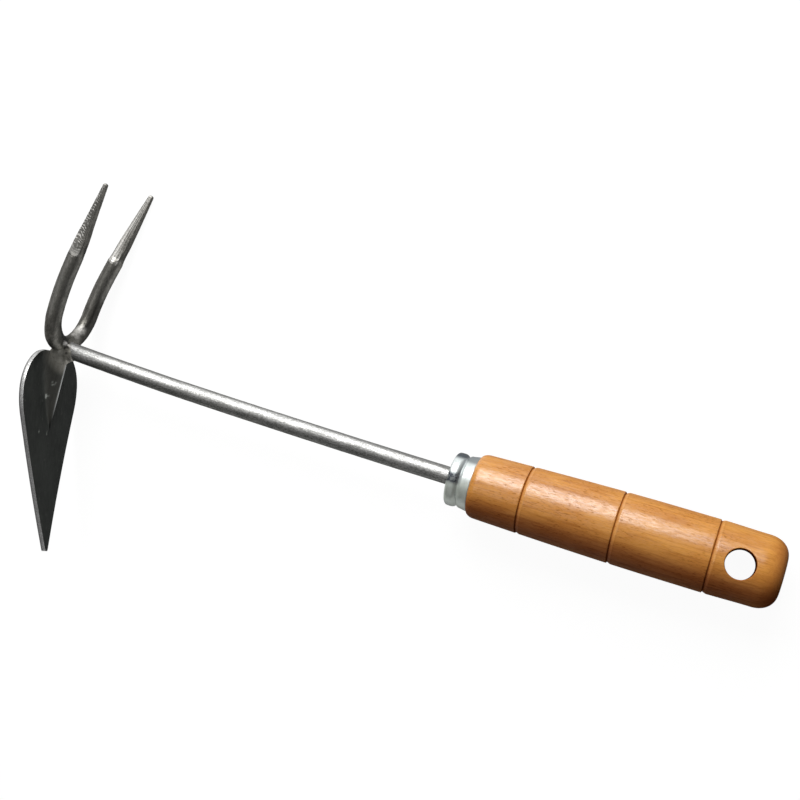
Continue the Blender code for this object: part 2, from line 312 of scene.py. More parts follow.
beechLook = {
    "light": (0.83, 0.38, 0.085, 1),
    "mid": (0.72, 0.30, 0.060, 1),
    "dark": (0.46, 0.150, 0.022, 1),
    "fleck": (0.26, 0.072, 0.010, 1),
    "butt": (0.60, 0.20, 0.045, 1),
    "groove": (0.24, 0.050, 0.009, 1),
    "bore": (0.28, 0.075, 0.025, 1),
    "bevel": (0.86, 0.43, 0.14, 1),
    "under": (0.52, 0.38, 0.50, 1),    # painted shade: how much darker the -y side is made
    "ringWidth": 4.2 * mm,
    "ringLean": (0.60, 0.80),          # how the growth layers face y and z
    "ringSway": 3.0,
    # Sizes of the marks along and across the grain, and the detail of each
    "sway": ((0.055, 0.010, 0.010), 2.0),
    "streak": ((0.022, 0.0010, 0.0010), 4.0),
    "fibre": ((0.0048, 0.00028, 0.00028), 2.0),
    "cloud": ((0.020, 0.007, 0.007), 2.0),
    "sheen": ((0.0030, 0.0008, 0.0008), 3.0),
    "ray": (0.0019, 0.00042, 0.00042),
    "ringShare": 0.20,
    "streakShare": 0.50,
    "fibreShare": 0.42,
    "buttShare": 0.75,
    "bevelShare": 0.38,
    "grooveShare": 0.75,
    "roughness": 0.55,
    "varnish": 1.0,
    "varnishIor": 2.0,
    "varnishRoughness": 0.31,
    # Where the varnish is worn thin: axis, from and to in metres, what is left of it there
    "worn": [("X", 0.070, 0.112, 0.68), ("Y", 0.0025, -0.0050, 0.08),
             ("Y", 0.0105, 0.0145, 0.30), ("X", 0.1250, 0.1350, 0.10)],
    "lathePitch": 1.0 * mm,
    "relief": 0.06 * mm,
}


def makeBeech():
    look = beechLook
    paint, tree, place = newMaterial("varnishedBeech")
    axes = splitAxes(tree, place)
    sway, streak, fibre, cloud, sheen = (
        noiseField(tree, place, *look[label])
        for label in ("sway", "streak", "fibre", "cloud", "sheen"))
    rays = speckMask(tree, place, look["ray"], 0.58, 0.70)
    # Growth rings are nearly flat layers of the plank that the grip was turned from
    faceY, faceZ = (lean / look["ringWidth"] for lean in look["ringLean"])
    layers = times(tree, axes["Z"], faceZ)
    layers = calc(tree, "MULTIPLY_ADD", axes["Y"], faceY, layers)
    layers = calc(tree, "MULTIPLY_ADD", sway, look["ringSway"], layers)
    ring = ramp(tree, calc(tree, "FRACT", layers), 0.5, 1.0)
    rayShare = times(tree, rays, ramp(tree, cloud, 0.62, 0.40, 0.12, 0.55))
    rayShare = times(tree, rayShare, ramp(tree, axes["X"], 0.112, 0.128, 1.0, 0.4))
    colour = blendColour(tree, ramp(tree, cloud, 0.35, 0.65), look["mid"], look["light"])
    # Varnish gathers in the turned lines, and the bevel beside each is paler
    for share, tint in (
            (times(tree, ring, look["ringShare"]), "dark"),
            (ramp(tree, streak, 0.48, 0.72, 0.0, look["streakShare"]), "dark"),
            (ramp(tree, fibre, 0.50, 0.72, 0.0, look["fibreShare"]), "dark"),
            (rayShare, "fleck"),
            (ramp(tree, axes["X"], 0.1300, 0.1375, 0.0, look["buttShare"]), "butt"),
            (times(tree, readMark(tree, "bevel"), look["bevelShare"]), "bevel"),
            (times(tree, readMark(tree, "groove"), look["grooveShare"]), "groove")):
        colour = blendColour(tree, share, colour, look[tint])
    # Painted shade: the -y side is darkened, and eased off again at its very bottom
    undersideShade = times(tree, ramp(tree, axes["Y"], 0.002, -0.0095),
                  ramp(tree, axes["Y"], -0.0150, -0.0115, 0.72, 1.0))
    colour = blendColour(tree, undersideShade, colour, look["under"], "MULTIPLY")
    # Painted shade: the wall of the hanging hole and the inner edge of its rim are darker
    bore = readMark(tree, "bore")
    colour = blendColour(tree, bore, colour, look["bore"])
    # The varnish is worn thin below, along the very top, round the butt and in every line
    coat = ramp(tree, sheen, 0.36, 0.62, look["varnish"], look["varnish"] * 0.55)
    for axis, start, end, left in look["worn"]:
        coat = times(tree, coat, ramp(tree, axes[axis], start, end, 1.0, left))
    for share, full, left in ((bore, 0.3, 0.0), (readMark(tree, "groove"), 0.8, 0.0),
                              (rays, 1.0, 0.5)):
        coat = times(tree, coat, ramp(tree, share, 0.0, full, 1.0, left))
    lines = useGroup(tree, latheLines, {"Vector": place, "Pitch": look["lathePitch"]})["Height"]
    relief = bumpFrom(tree, lines, look["relief"], 0.6)
    setShader(tree, {
        "Base Color": colour, "Roughness": look["roughness"], "Specular IOR Level": 0.0,
        "Coat Weight": coat, "Coat IOR": look["varnishIor"],
        "Coat Roughness": look["varnishRoughness"],
        "Normal": bumpFrom(tree, fibre, look["relief"], 0.7, relief)})
    return paint


zincLook = {
    # bright is the painted lit colour of the +y half, dull the painted shade of the -y half
    "bright": (0.82, 0.88, 0.90, 1),
    "dull": (0.60, 0.65, 0.58, 1),
    # spot is the colour of the stains and painted dark reflection across the front roll
    "spot": (0.06, 0.068, 0.085, 1),
    "shade": (0.055, 0.068, 0.085, 1),
    "edge": 0.15,
    "metal": 0.45,
    "smooth": 0.34,
    "rough": 0.44,
    "blotch": (0.005, 0.004, 0.004),
    "grain": (0.0006, 0.0006, 0.0006),
    "streak": (0.0003, 0.009, 0.009),
    "weights": (0.30, 0.15, 0.20),
    "stain": (0.0013, 0.0010, 0.0010),
    "darkBandAt": 1.9 * mm,      # height of the band of stains and painted dark reflection round the front roll
    "lathePitch": 0.35 * mm,
}


def makeZinc():
    look = zincLook
    paint, tree, place = newMaterial("brightZinc")
    skin = steelField(tree, place, look)
    # Painted light and shade: the +y half is painted bright and the -y half dull, and the front
    # roll has a band of stains and painted dark reflection
    axes = splitAxes(tree, place)
    paintedLightShare = ramp(tree, axes["Y"], 0.0, 0.0035)
    tone = calc(tree, "MULTIPLY_ADD", skin["Tone"], 0.4, times(tree, paintedLightShare, 0.6))
    colour = blendColour(tree, tone, look["dull"], look["bright"])
    colour = blendColour(tree, readMark(tree, "shade"), colour, look["shade"])
    # Stains and painted dark reflection: a mottled dark band across the front roll
    stainsAndDarkReflection = ramp(tree, speckMask(tree, place, look["stain"], 0.40, 0.62), 0.0, 1.0, 0.72, 1.0)
    across = calc(tree, "ABSOLUTE", calc(tree, "SUBTRACT", axes["Y"], look["darkBandAt"]))
    band = times(tree, ramp(tree, across, 0.0034, 0.0012), ramp(tree, axes["X"], 0.0064, 0.0044))
    colour = blendColour(tree, times(tree, stainsAndDarkReflection, band), colour, look["spot"])
    lines = useGroup(tree, latheLines, {"Vector": place, "Pitch": look["lathePitch"]})["Height"]
    relief = bumpFrom(tree, lines, 0.00002, 0.4)
    setShader(tree, {
        "Base Color": colour, "Metallic": look["metal"],
        "Roughness": ramp(tree, skin["Tone"], 0, 1, look["smooth"], look["rough"]),
        "Specular Tint": (look["edge"],) * 3 + (1,),
        "Normal": bumpFrom(tree, skin["Fine"], 0.0001, 0.5, relief)})
    return paint


# One entry for each steel: its tones, its roughness and the size of its marks along x, y, z.
# "edge" is how bright it is at a grazing look, where scale and oil keep steel dark. What lies
# over the plain steel is one colour, or a darker and a lighter one that follow its tone.
steelLooks = {
    "barSteel": {
        "dark": (0.32, 0.32, 0.31, 1), "light": (0.58, 0.58, 0.575, 1),
        "edge": 0.15, "metal": 0.72, "smooth": 0.44, "rough": 0.56,
        "blotch": (0.010, 0.003, 0.003), "grain": (0.0009, 0.0005, 0.0005),
        "streak": (0.010, 0.0005, 0.0005), "weights": (0.25, 0.60, 0.35), "relief": 0.00016,
        # Painted light on the bar: the highlight colours, the shade line on top and the shade below
        "paintedHighlight": ((0.46, 0.465, 0.46, 1), (0.80, 0.805, 0.80, 1)),
        "topEdgeShade": (0.10, 0.10, 0.10, 1),
        "shankUndersideShade": ((0.11, 0.11, 0.105, 1), (0.27, 0.27, 0.26, 1)),
    },
    "forgedSteel": {
        "dark": (0.105, 0.105, 0.094, 1), "light": (0.240, 0.232, 0.212, 1),
        "edge": 0.02, "metal": 0.70, "smooth": 0.36, "rough": 0.50,
        "blotch": (0.003, 0.005, 0.003), "grain": (0.0009, 0.0013, 0.0009),
        "streak": (0.0007, 0.010, 0.0007), "weights": (0.30, 0.22, 0.30), "relief": 0.00003,
        "melt": (0.37, 0.36, 0.32, 1),
        "bare": ((0.68, 0.67, 0.645, 1), (0.82, 0.81, 0.785, 1)),
        "pit": (0.05, 0.05, 0.045, 1), "pitSize": (0.0007, 0.0009, 0.0007),
        "paintedShade": (0.020, 0.020, 0.018, 1),
    },
    "plateSteel": {
        "dark": (0.030, 0.032, 0.030, 1), "light": (0.043, 0.046, 0.043, 1),
        "edge": 0.10, "metal": 0.80, "smooth": 0.36, "rough": 0.46,
        "blotch": (0.009, 0.014, 0.009), "grain": (0.0006, 0.0006, 0.0006),
        "streak": (0.0008, 0.020, 0.0008), "weights": (0.40, 0.15, 0.30), "relief": 0.00004,
        "heated": ((0.27, 0.262, 0.228, 1), (0.42, 0.405, 0.36, 1)),
        "crest": (0.57, 0.58, 0.575, 1),
        "spatter": (0.40, 0.42, 0.39, 1),
        "speck": (0.10, 0.10, 0.095, 1), "speckSize": (0.0016, 0.0022, 0.0010),
    },
    "groundEdge": {
        "dark": (0.42, 0.42, 0.415, 1), "light": (0.86, 0.865, 0.865, 1),
        "edge": 0.35, "metal": 0.75, "smooth": 0.30, "rough": 0.46,
        "blotch": (0.003, 0.003, 0.003), "grain": (0.0005, 0.0005, 0.0005),
        "streak": (0.0003, 0.0003, 0.0003), "weights": (0.30, 0.50, 0.20), "relief": 0.00010,
        "top": (0.20, 0.20, 0.19, 1),
        "corner": (0.10, 0.10, 0.10, 1),
    },
    "weldSteel": {
        "dark": (0.28, 0.27, 0.236, 1), "light": (0.47, 0.455, 0.41, 1),
        "edge": 0.12, "metal": 0.55, "smooth": 0.38, "rough": 0.55,
        "blotch": (0.003, 0.003, 0.003), "grain": (0.0007, 0.0007, 0.0007),
        "streak": (0.0012, 0.0012, 0.0012), "weights": (0.45, 0.25, 0.15), "relief": 0.00014,
        "bead": (0.90, 0.88, 0.84, 1),
        "paintedShade": (0.035, 0.034, 0.030, 1),
    },
}


def makeSteel(name, addOver):
    look = steelLooks[name]
    paint, tree, place = newMaterial(name)
    skin = steelField(tree, place, look)
    layer = {
        "Base Color": blendColour(tree, skin["Tone"], look["dark"], look["light"]),
        "Roughness": ramp(tree, skin["Tone"], 0, 1, look["rough"], look["smooth"], "LINEAR"),
        "Metallic": look["metal"],
        "Specular Tint": (look["edge"],) * 3 + (1,),
        "Normal": bumpFrom(tree, skin["Fine"], look["relief"]),
    }

    def paintOver(share, colour):
        # share is a value over the surface or the name of a mark
        if isinstance(share, str):
            share = readMark(tree, share)
        if len(colour) == 2:
            colour = blendColour(tree, skin["Tone"], *colour)
        layer["Base Color"] = blendColour(tree, share, layer["Base Color"], colour)

    addOver(tree, place, look, layer, paintOver)
    setShader(tree, layer)
    return paint


def shankPaintedLight(tree, place, look, layer, paintOver):
    # Painted light: a painted highlight along its upper side, a line of painted shade along the top
    # edge and painted shade below
    shape = shankShape
    axes = splitAxes(tree, place)
    lift = ramp(tree, axes["X"], 0.0, shape["headRun"], shape["headLift"] * 1.4, 0.0, "LINEAR")
    side = calc(tree, "SUBTRACT", axes["Y"], lift)
    paintedHighlight = times(tree, ramp(tree, side, -0.0002, 0.0016), ramp(tree, side, 0.0033, 0.0026))
    paintOver(times(tree, paintedHighlight, 0.9), look["paintedHighlight"])
    paintOver(ramp(tree, side, 0.0029, 0.0036, 0.0, 0.55), look["topEdgeShade"])
    paintOver(ramp(tree, side, 0.0018, -0.0030), look["shankUndersideShade"])


def drawnFlats(tree, place, look, layer, paintOver):
    # The hammered flats are bare bright metal inside the dark scale of the bar. The same mark
    # carries painted highlights and painted shade on the flats, and painted highlights on the legs
    # and bow
    paintOver("melt", look["melt"])
    paintOver("flat", look["bare"])
    pits = speckMask(tree, place, look["pitSize"], 0.64, 0.72)
    paintOver(times(tree, pits, 0.35), look["pit"])
    paintOver("paintedShade", look["paintedShade"])
    layer["Metallic"] = ramp(tree, readMark(tree, "flat"), 0.0, 0.6, layer["Metallic"], 0.40)


def pressedPlate(tree, place, look, layer, paintOver):
    # A painted highlight down the rib crest, and a warm tint where the weld heated the plate
    paintOver("scorch", look["heated"])
    paintOver("worn", look["crest"])
    paintOver("spatter", look["spatter"])
    marks = speckMask(tree, place, look["speckSize"], 0.70, 0.76)
    paintOver(times(tree, marks, 0.5), look["speck"])
    layer["Metallic"] = ramp(tree, readMark(tree, "scorch"), 0.0, 0.35, layer["Metallic"], 0.5)


def sawnRim(tree, place, look, layer, paintOver):
    # Painted shade: the rim's rear corner is dark; the plate's slope tells how far behind its face
    # a point is
    shape = bladeShape
    axes = splitAxes(tree, place)
    down = calc(tree, "SUBTRACT", shape["top"], axes["Y"])
    bend = (shape["slopeTip"] - shape["slopeTop"]) / shape["length"] / 2
    slope = calc(tree, "MULTIPLY_ADD", down, bend, shape["slopeTop"])
    face = calc(tree, "MULTIPLY_ADD", down, slope, shape["frontX"])
    behind = calc(tree, "SUBTRACT", face, axes["X"])
    # The rim darkens towards the top of the blade, and its rear corner gets painted shade
    paintOver(ramp(tree, axes["Y"], -0.0065, -0.0020, 0.0, 0.35), look["top"])
    corner = times(tree, ramp(tree, behind, 0.0013, 0.0019),
                   ramp(tree, axes["Y"], -0.050, -0.010, 0.50, 0.85))
    paintOver(corner, look["corner"])


def beadedWeld(tree, place, look, layer, paintOver):
    for mark in ("bead", "paintedShade"):
        paintOver(mark, look[mark])


beech = makeBeech()
zinc = makeZinc()
forgedSteel = makeSteel("forgedSteel", drawnFlats)
plateSteel = makeSteel("plateSteel", pressedPlate)
weldSteel = makeSteel("weldSteel", beadedWeld)
print("materials ready")


gripShape = {
    "start": 185.6 * mm,           # the ferrule's front face along the shank
    "tilt": radians(1.38),
    "length": 138.2 * mm,
    "shoulderAt": 10.3 * mm,
    "shoulderRadius": 11.6 * mm,
    "shoulderRound": 3.5 * mm,
    "frontRadius": 13.65 * mm,
    "fullRadius": 15.1 * mm,
    "swellEnd": 88 * mm,
    "swellPower": 1.6,
    "grooves": [32.5 * mm, 71.35 * mm, 110.2 * mm],
    "grooveDepth": 0.55 * mm,
    "buttRound": 9.3 * mm,
    "buttFace": 6.5 * mm,
    "buttFullness": 2.25,
    "buttDraw": 0.35 * mm,
    "sides": 176,
    "holeAt": 121.3 * mm,
    "holeRadius": 6.05 * mm,
    "holeTurn": radians(-9.3),
    "holeRim": 0.40 * mm,
    "holeCut": 8.3 * mm,
    "inside": 9.6 * mm,            # radius of the plain end that the ferrule hides
    "insideAt": 7.0 * mm,
}
handlePose = (toolPose @ Matrix.Translation((gripShape["start"], 0, 0))
              @ Matrix.Rotation(gripShape["tilt"], 4, "Z"))


def gripRadius(place):
    shape = gripShape
    corner = shape["length"] - shape["buttRound"]
    body = shape["shoulderAt"] + shape["shoulderRound"]
    share = min(max((place - body) / (shape["swellEnd"] - body), 0), 1)
    swell = shape["fullRadius"] - shape["frontRadius"]
    radius = shape["fullRadius"] - swell * (1 - share) ** shape["swellPower"]
    radius -= shape["buttDraw"] * smoothStep(shape["grooves"][-1], corner, place)
    if place < body:
        gone = (body - place) / shape["shoulderRound"]
        foot = shape["shoulderRadius"]
        radius = foot + (radius - foot) * sqrt(max(1 - gone ** 2, 0))
    if place > corner:
        power = shape["buttFullness"]
        gone = min((place - corner) / shape["buttRound"], 1)
        face = shape["buttFace"]
        radius = face + (radius - face) * (1 - gone ** power) ** (1 / power)
    return radius


# One turned line: distance from its middle in mm, share of the depth, groove and bevel marks
grooveSteps = [
    (-0.80, 0.00, 0.0, 0.0), (-0.56, 0.03, 0.05, 0.0), (-0.43, 0.20, 0.40, 0.0),
    (-0.33, 0.60, 0.90, 0.0), (-0.23, 0.95, 1.0, 0.0), (-0.05, 1.00, 1.0, 0.0),
    (0.10, 0.92, 0.65, 0.1), (0.28, 0.76, 0.30, 0.4), (0.55, 0.53, 0.08, 0.7),
    (0.85, 0.30, 0.0, 0.8), (1.12, 0.12, 0.0, 0.6), (1.35, 0.03, 0.10, 0.2),
    (1.60, 0.00, 0.16, 0.0), (1.90, 0.00, 0.0, 0.0),
]


def gripOutline():
    # Rows of (place, radius, groove mark, bevel mark)
    shape = gripShape
    rows = [(shape["insideAt"], 0, 0, 0)]
    rows += [(place, shape["inside"], 0, 0) for place in (shape["insideAt"], shape["shoulderAt"])]
    body = shape["shoulderAt"] + shape["shoulderRound"]
    for i in range(15):
        place = body - shape["shoulderRound"] * cos(i / 14 * pi / 2)
        rows.append((place, gripRadius(place), 0, 0))
    last = body
    corner = shape["length"] - shape["buttRound"]
    for middle in shape["grooves"] + [None]:
        end = corner if middle is None else middle + grooveSteps[0][0] * mm
        count = int((end - last) / (0.7 * mm))
        for i in range(1, count):
            place = last + (end - last) * i / count
            rows.append((place, gripRadius(place), 0, 0))
        if middle is not None:
            for away, share, groove, bevel in grooveSteps:
                place = middle + away * mm
                radius = gripRadius(place) - shape["grooveDepth"] * share
                rows.append((place, radius, groove, bevel))
            last = rows[-1][0]
    for i in range(27):
        place = corner + shape["buttRound"] * sin(i / 26 * pi / 2)
        rows.append((place, gripRadius(place), 0, 0))
    rows += [(shape["length"], shape["buttFace"] * share, 0, 0) for share in (0.75, 0.5, 0.25)]
    return rows + [(shape["length"], 0, 0, 0)]


def holeAxes():
    # The way the hanging hole runs, and the way across it
    turn = gripShape["holeTurn"]
    return Vector((0, -sin(turn), cos(turn))), Vector((0, cos(turn), sin(turn)))


def holeShell(segments=160, wallSteps=14):
    # The rim and wall of the hanging hole, as rings that lie on the grip's own surface
    shape = gripShape
    out, side = holeAxes()
    bore, rim = shape["holeRadius"], shape["holeRim"]
    reaches = [reach * mm for reach in (9.2, 8.7, 8.2, 7.8, 7.4, 7.1, 6.85)]
    reaches += [bore + rim * (1 - sin(i / 9 * pi / 2)) for i in range(10)]
    # dark marks the painted shade inside the hole: the whole wall, and the rim where it turns in
    points, dark = [], []

    def rimRing(reach, face):
        for k in range(segments):
            angle = 2 * pi * k / segments
            place = shape["holeAt"] + reach * cos(angle)
            across = reach * sin(angle)
            into = max(bore + rim - reach, 0)
            drop = rim - sqrt(max(rim ** 2 - into ** 2, 0)) - 0.005 * mm
            height = sqrt(gripRadius(place) ** 2 - across ** 2) - drop
            points.append(Vector((place, 0, 0)) + side * across + out * height * face)
            dark.append(smoothStep(0.35 * rim, 0.9 * rim, into))

    for reach in reaches:
        rimRing(reach, 1)
    top = len(points) - segments
    for step in range(1, wallSteps):
        for upper in points[top:top + segments]:
            lower = upper - out * 2 * upper.dot(out)
            points.append(upper.lerp(lower, step / wallSteps))
            dark.append(1)
    for reach in reversed(reaches):
        rimRing(reach, -1)
    return points, rowsOf(points, segments), dark


def makeGrip():
    shape = gripShape
    outline = gripOutline()
    points, rings = turnedPoints(outline, shape["sides"])
    marks = {"groove": [], "bevel": [], "bore": []}
    for place, radius, groove, bevel in outline:
        addMarks(marks, groove, bevel, 0.0, copies=1 if radius == 0 else shape["sides"])
    # Faces round the hole make room for its own shell
    side = holeAxes()[1]
    hidden = [(place - shape["holeAt"]) ** 2 + (y * side.y + z * side.z) ** 2
              < shape["holeCut"] ** 2 for place, y, z in points]
    faces = [face for face in ringFaces(rings) if not all(hidden[i] for i in face)]
    start = len(points)
    shellPoints, shellRings, dark = holeShell()
    points += shellPoints
    faces += ringFaces([[start + i for i in ring] for ring in reversed(shellRings)])
    for share in dark:
        addMarks(marks, 0.0, 0.0, share)
    mesh = makeMesh("gripWood", points, faces, marks)
    return rideRoot(placeObject("gripWood", mesh, handlePose), [beech], ["grip"])


ferruleShape = {
    "wall": 0.8 * mm,
    "hole": 3.95 * mm,
    "innerFrom": 1.6 * mm,     # where the inside leaves the front face
    "sides": 168,
    # (place, radius) in mm down the outside, from the hole's edge to the flared rim
    "outside": [
        (0.12, 5.0), (0.02, 6.6), (0.0, 8.2), (0.06, 9.2), (0.20, 10.1), (0.45, 10.75),
        (0.85, 11.14), (1.4, 11.32), (2.4, 11.37), (3.4, 11.34), (4.1, 11.14), (4.6, 10.80),
        (5.05, 10.47), (5.4, 10.42), (5.7, 10.6), (6.05, 10.93), (6.5, 11.12), (7.1, 11.2),
        (7.8, 11.3), (8.8, 11.5), (9.9, 11.62), (10.2, 11.64), (10.32, 11.6), (10.35, 11.45),
    ],
}


def curveThrough(points, steps):
    # A smooth row through the given points, each span cut into steps
    row = []
    for i in range(len(points) - 1):
        a = points[max(i - 1, 0)]
        b, c = points[i], points[i + 1]
        d = points[min(i + 2, len(points) - 1)]
        for k in range(steps):
            t = k / steps
            row.append(tuple(
                0.5 * (2 * q + (r - p) * t + (2 * p - 5 * q + 4 * r - s) * t ** 2
                       + (3 * q - p - 3 * r + s) * t ** 3)
                for p, q, r, s in zip(a, b, c, d)))
    return row + [tuple(points[-1])]


def ferruleShade(place, high):
    # Dark round the very top and down the rear flank of the front roll; both in mm
    rear = smoothStep(4.6, 6.0, place)
    flank = smoothStep(3.5, 4.8, place) * fadeOut(5.1, 5.6, place)
    flank *= 0.15 + 0.50 * smoothStep(-2, 5, high)
    top = smoothStep(9.0 - 0.7 * rear, 10.6 - 0.7 * rear, high) * (1 - 0.30 * rear)
    lip = 0.55 * smoothStep(9.7, 10.25, place)
    low = 0.35 * smoothStep(-8.5, -11.2, high)
    front = 0.4 * fadeOut(0.05, 0.35, place)
    return 0.95 * max(flank, top, low, front, lip)


def makeFerrule():
    shape = ferruleShape
    wall, hole = shape["wall"], shape["hole"]
    outside = [(place * mm, radius * mm) for place, radius in curveThrough(shape["outside"], 4)]
    rows = [(0.5 * mm, hole), (0.12 * mm, hole + 0.1 * mm)] + outside
    rows += [(place, radius - wall) for place, radius in reversed(outside)
             if place > shape["innerFrom"]]
    rows += [(wall, hole + 2 * mm), (wall, hole)]
    points, rings = turnedPoints(rows, shape["sides"])
    shades = [ferruleShade(place / mm, y / mm) for place, y, z in points]
    mesh = makeMesh("ferruleCup", points, ringFaces(rings, closed=True), {"shade": shades})
    return rideRoot(placeObject("ferruleCup", mesh, handlePose), [zinc], ["ferrule"])


shankShape = {
    "radius": 3.8 * mm,
    "from": -1.5 * mm,
    "to": 190 * mm,
    "middle": 92.8 * mm,
    "bowEnds": 0.50 * mm,      # the bar is bowed: its ends stand this far to the tine side
    "bowMiddle": -0.24 * mm,
    "headLift": 0.62 * mm,     # the first stretch after the weld bends a little more
    "headRun": 52 * mm,
    "dents": 0.035 * mm,
    "sides": 96,
    "rings": 300,
}


def shankCentre(place):
    shape = shankShape
    share = (place - shape["middle"]) / shape["middle"]
    lift = shape["headLift"] * max(1 - max(place, 0) / shape["headRun"], 0) ** 1.3
    bow = shape["bowEnds"] - shape["bowMiddle"]
    return shape["bowMiddle"] + bow * min(share ** 2, 1.1) + lift


def makeShank():
    shape = shankShape
    points = []
    for i in range(shape["rings"] + 1):
        place = shape["from"] + (shape["to"] - shape["from"]) * i / shape["rings"]
        centre = shankCentre(place)
        for k in range(shape["sides"]):
            angle = 2 * pi * k / shape["sides"]
            spot = Vector((place * 400, cos(angle) * 1.6, sin(angle) * 1.6))
            radius = shape["radius"] + noise.noise(spot) * shape["dents"]
            points.append((place, centre + radius * cos(angle), radius * sin(angle)))
    mesh = makeMesh("shankBar", points, ringFaces(rowsOf(points, shape["sides"])))
    barSteel = makeSteel("barSteel", shankPaintedLight)
    return rideRoot(placeObject("shankBar", mesh, toolPose), [barSteel], ["shank"])


forkShape = {
    "barRadius": 3.6 * mm,
    "frontX": -3.9 * mm,
    "bowHeight": 3.3 * mm,
    "height": 78.2 * mm,
    "bowWidth": 31.2 * mm,
    "tipWidth": 42.7 * mm,
    "lean": radians(12.8),
    "leanRadius": 127 * mm,
    "leanStart": 9.5 * mm,
    "drawLength": 33.8 * mm,
    "pointHalf": 0.9 * mm,
    "pointRound": 0.85 * mm,
    "waist": 0.686,
    "fall": 6,
    "turn": radians(10),       # the flats start a little turned to the grip
    "turnEnd": radians(-6),
    "squash": 0.32 * mm,       # how much thinner than wide the hammered part starts
    "shoulder": 2.0 * mm,
    "corners": 16,
    "sides": 120,
    "ridgePitch": 1.25 * mm,
    "ridgeDepth": 0.10 * mm,
    "fluteDepth": 0.08 * mm,
    "dents": 0.05 * mm,
    "farEarly": 1.8,
    # How much slimmer than the plain taper each point is: mm from its start, share
    "slimNear": [(0, 0.98), (3, 0.955), (6, 0.94), (9, 0.90), (12, 0.88), (16, 0.857),
                 (22, 0.855), (26, 0.875), (30, 0.89), (34, 0.92)],
    "slimFar": [(0, 0.97), (2, 0.90), (4.5, 0.88), (10, 0.90), (14, 0.925), (20, 0.955),
                (24, 0.98), (34, 1.0)],
    "bulge": 1.25 * mm,        # the near corner of the bow is fuller on its outer side
    # Painted highlights: point, how far it spreads, how strong, how far it stands out, in mm
    "paintedHighlight": [((-3.0, 10.3, -8.6), 3.4, 0.95, 0), ((-2.9, 8.0, -5.4), 2.8, 0.5, 0),
               ((-0.3, 4.6, 7.2), 1.2, 1.3, 0.35), ((-0.3, 4.3, 6.3), 1.3, 1.4, 0.45),
               ((-0.3, 4.1, 5.3), 1.4, 1.4, 0.50)],
}


def forkLean(height):
    shape = forkShape
    run = height - shape["leanStart"]
    if run <= 0:
        return 0.0
    bend = shape["leanRadius"] * sin(shape["lean"])
    if run < bend:
        return shape["leanRadius"] - sqrt(shape["leanRadius"] ** 2 - run ** 2)
    return shape["leanRadius"] * (1 - cos(shape["lean"])) + (run - bend) * tan(shape["lean"])


def forkCentre():
    # One half of the bar's centre line, from the middle of the bow to the point
    shape = forkShape
    rise = shape["height"] - shape["bowHeight"] - shape["bowWidth"] / 2
    splay = atan2((shape["tipWidth"] - shape["bowWidth"]) / 2, rise)
    radius = shape["bowWidth"] / 2 / cos(splay)
    turn = pi / 2 - splay
    row = [(radius * sin(turn * i / 40), shape["bowHeight"] + radius * (1 - cos(turn * i / 40)))
           for i in range(41)]
    across, height = row[-1]
    drawStart = shape["height"] - shape["drawLength"]
    end = shape["pointRound"]
    marks = [height + (drawStart - height) * i / 50 for i in range(1, 51)]
    marks += [drawStart + (shape["drawLength"] - end) * i / 240 for i in range(1, 241)]
    marks += [shape["height"] - end * share for share in (0.8, 0.6, 0.42, 0.27, 0.15, 0.06, 0)]
    row += [(across + (mark - height) * tan(splay), mark) for mark in marks]
    return [Vector((shape["frontX"] + forkLean(up), up, side)) for side, up in row]


def pointFlat(height):
    # Half the distance between opposite flats
    shape = forkShape
    gone = (height - (shape["height"] - shape["drawLength"])) / shape["drawLength"]
    if gone <= 0:
        return shape["barRadius"]
    left = 1 - gone
    steady = shape["waist"] * shape["barRadius"]
    start = shape["barRadius"] - shape["pointHalf"] - steady
    flat = shape["pointHalf"] + steady * left + start * left ** shape["fall"]
    into = max(height - shape["height"] + shape["pointRound"], 0) / shape["pointRound"]
    return flat * (0.35 + 0.65 * sqrt(max(1 - into ** 2, 0)))


def scaleRidges(gone, across):
    # Short scales, one hammer stroke after another; returns how deep and how bright, the brightness
    # being painted glints on their left halves
    step = gone / (forkShape["ridgePitch"] / mm) + 0.32 * across
    step += 0.8 * noise.noise(Vector((gone * 0.35, across * 1.2, 4.3)))
    within = step % 1
    depth = within / 0.32 if within < 0.32 else (1 - within) / 0.68
    patch = noise.noise(Vector((step // 1 * 0.77, across * 3.1 + gone * 0.2, 9.4)))
    patch = min(max(0.65 + 1.6 * patch, 0), 1)
    left = fadeOut(0.15, 0.75, across)
    glint = 0.75 * min(max(1.7 - abs(within - 0.20) / 0.15, 0), 1) * patch * left
    return depth * (0.3 + 0.7 * patch) * (0.15 + 0.85 * left), glint


